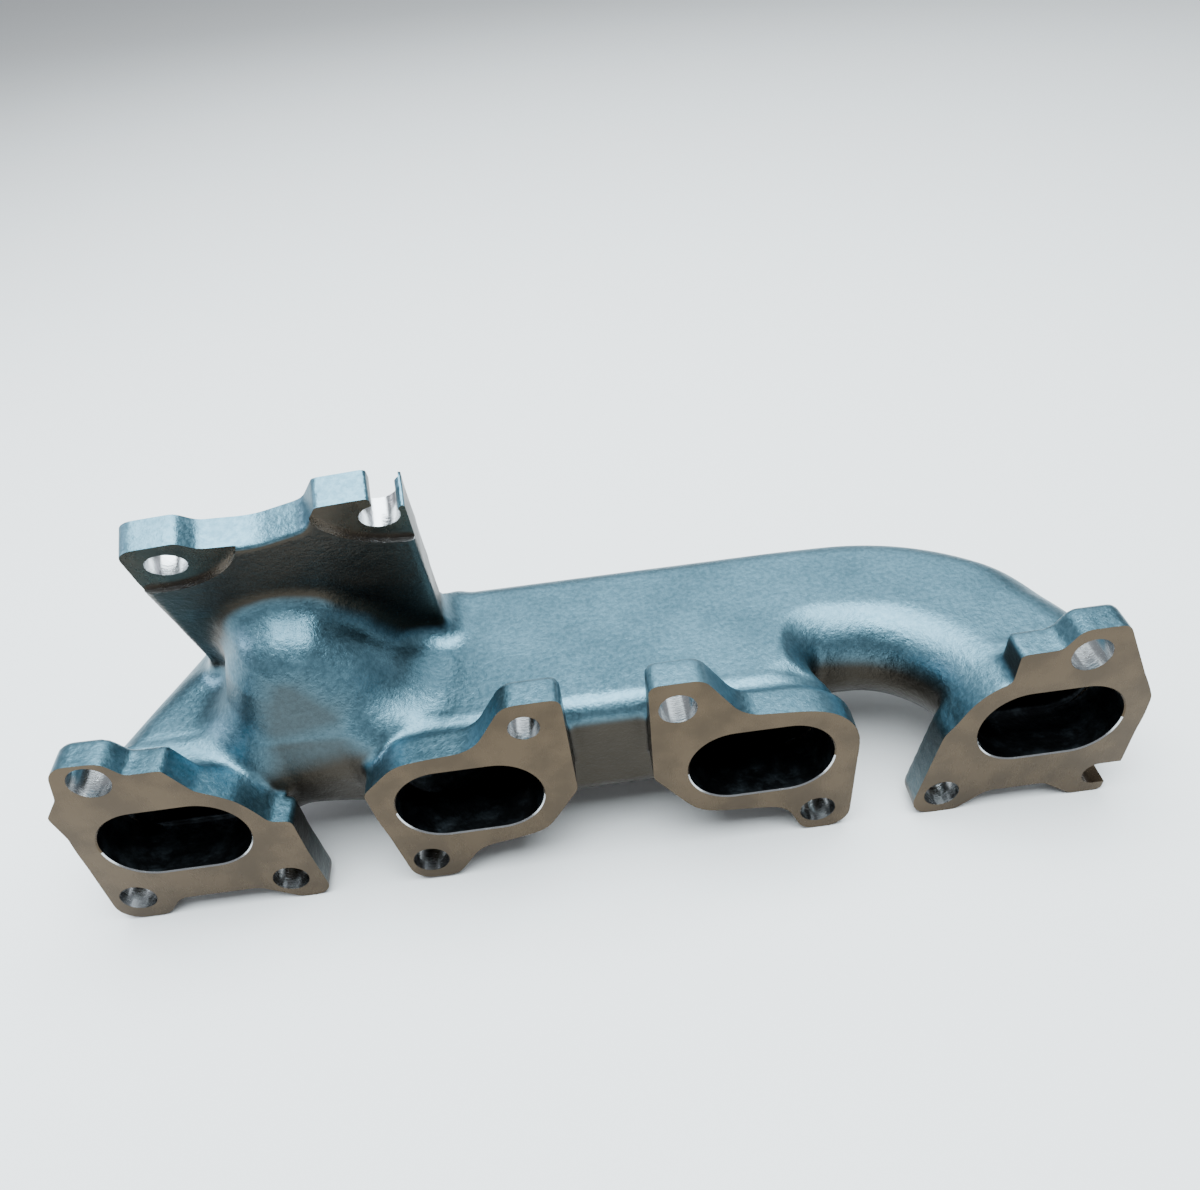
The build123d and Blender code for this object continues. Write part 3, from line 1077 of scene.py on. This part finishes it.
@dataclass(frozen=True)
class InsideShadeFinish:
    """Painted shade inside the ports and the gas room: as-cast steel darkened nearly to black."""

    name: str = "port_inside_painted_shade"
    light: Point = (0.050, 0.062, 0.072)
    dark: Point = (0.014, 0.016, 0.018)
    roughness: float = 0.42

    def build(self) -> bpy.types.Material:
        """Build the material."""
        made, tree, shader = new_material(self.name)
        spot = place(tree)
        lumps = noise(spot, 6.0, 4.0)
        grain = noise(spot, 1.2, 3.0)
        colour = mix_colour(lumps.ramp(0.45, 0.70), (*self.dark, 1.0), (*self.light, 1.0))
        rough = grain * 0.2 + (self.roughness - 0.1)
        height = lumps * 0.8 + grain * 0.2
        bump = add_node(tree, "ShaderNodeBump", 0, None, Strength=0.6, Distance=0.0012, Height=height)
        shader.inputs["Metallic"].default_value = 1.0
        tree.links.new(colour.link, shader.inputs["Base Color"])
        tree.links.new(rough.link, shader.inputs["Roughness"])
        tree.links.new(bump.link, shader.inputs["Normal"])
        return made


@dataclass(frozen=True)
class DrilledAndHighlightFinish:
    """Bright drilled walls, and a painted highlight on the lower broken port edges and the spot-face steps.
    """

    name: str = "drilled_and_highlight_stainless"
    colour: Point = (0.50, 0.51, 0.52)
    roughness: float = 0.20

    def build(self) -> bpy.types.Material:
        """Build the material."""
        made, tree, shader = new_material(self.name)
        spot = place(tree)
        rings = add_node(tree, "ShaderNodeMapping", 0, None, Vector=spot, Scale=(0.6, 2.4, 0.6))
        score = rings.node("ShaderNodeTexNoise", 0, None, Vector=rings, Scale=900.0, Detail=2.0)
        rough = score * 0.25 + (self.roughness - 0.1)
        bump = add_node(tree, "ShaderNodeBump", 0, None, Strength=0.25, Distance=0.0002, Height=score)
        shader.inputs["Metallic"].default_value = 1.0
        shader.inputs["Base Color"].default_value = (*self.colour, 1.0)
        tree.links.new(rough.link, shader.inputs["Roughness"])
        tree.links.new(bump.link, shader.inputs["Normal"])
        return made


# ------------------------------------------------------------------ floor, light, camera


@dataclass
class Studio:
    """Pale floor, soft lights and the camera."""

    floor_z: float = -0.0662
    floor_colour: Point = (0.84, 0.84, 0.84)
    camera_place: Point = (0.021258, -0.197377, 0.214726)
    camera_right: Point = (0.99148074, -0.09766565, -0.08618213)
    camera_up: Point = (0.12894533, 0.64242606, 0.75542164)
    camera_back: Point = (-0.0184131, -0.76009879, 0.6495466)
    lens: float = 30.305

    def floor(self) -> None:
        """A wide pale floor."""
        mesh = bpy.data.meshes.new("floor")
        half = 4.0
        corners = [(-half, -half, self.floor_z), (half, -half, self.floor_z),
                   (half, half, self.floor_z), (-half, half, self.floor_z)]
        mesh.from_pydata(corners, [], [(0, 1, 2, 3)])
        made = bpy.data.objects.new("floor", mesh)
        bpy.context.scene.collection.objects.link(made)
        material, _, shader = new_material("floor_paper")
        shader.inputs["Base Color"].default_value = (*self.floor_colour, 1.0)
        shader.inputs["Roughness"].default_value = 0.9
        mesh.materials.append(material)

    def lamp(self, name: str, place_at: Point, aim: Point, size: Span, power: float, colour: Point) -> None:
        """A soft rectangular light.

        Args:
            name: Name of the light.
            place_at: Where it stands, in metres.
            aim: What it points at.
            size: Width and height.
            power: Power in watts.
            colour: Light colour.
        """
        light = bpy.data.lights.new(name, "AREA")
        light.shape = "RECTANGLE"
        light.size, light.size_y = size
        light.energy = power
        light.color = colour
        made = bpy.data.objects.new(name, light)
        made.location = place_at
        made.rotation_euler = (Vector(aim) - Vector(place_at)).to_track_quat("-Z", "Y").to_euler()
        bpy.context.scene.collection.objects.link(made)

    def camera(self) -> None:
        """The camera, above the head side and looking down at the ports."""
        data = bpy.data.cameras.new("camera")
        data.sensor_width = 36.0
        data.lens = self.lens
        data.clip_start = 0.01
        made = bpy.data.objects.new("camera", data)
        axes = Matrix((self.camera_right, self.camera_up, self.camera_back)).transposed().to_4x4()
        made.matrix_world = Matrix.Translation(self.camera_place) @ axes
        bpy.context.scene.collection.objects.link(made)
        bpy.context.scene.camera = made

    def build(self) -> None:
        """Put up the floor, the lights and the camera."""
        self.floor()
        self.camera()
        self.lamp("top_panel", (0.0, 0.0, 0.85), (0.0, 0.03, 0.0), (1.1, 0.9), 38.0, (0.86, 0.96, 1.0))
        self.lamp("back_panel", (0.1, 0.95, 0.62), (0.0, 0.03, 0.0), (1.4, 0.5), 5.0, (0.84, 0.95, 1.0))
        self.lamp("left_panel", (-0.85, 0.1, 0.35), (0.0, 0.03, 0.0), (0.3, 0.4), 3.0, (0.88, 0.90, 1.0))
        world = bpy.data.worlds.new("studio")
        world.use_nodes = True
        world.node_tree.nodes["Background"].inputs["Color"].default_value = (0.86, 0.90, 0.95, 1.0)
        world.node_tree.nodes["Background"].inputs["Strength"].default_value = 0.45
        bpy.context.scene.world = world


def main() -> None:
    """Build every piece, dress it and put up the studio."""
    logging.basicConfig(level=logging.INFO, format="%(message)s")
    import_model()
    casting = Casting()
    finishes = [
        CastFinish().build(), MilledFinish().build(), DrilledAndHighlightFinish().build(), InsideShadeFinish().build()
    ]
    for name, piece in casting.pieces().items():
        piece.data.materials.clear()
        for finish in finishes:
            piece.data.materials.append(finish)
        finish_surface(piece, casting)
        piece.name = f"{name}_skin"
        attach(piece, "root")
        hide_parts(name)
        log.info("%s: %d faces", name, len(piece.data.polygons))
    Studio().build()


if __name__ == "__main__":
    main()
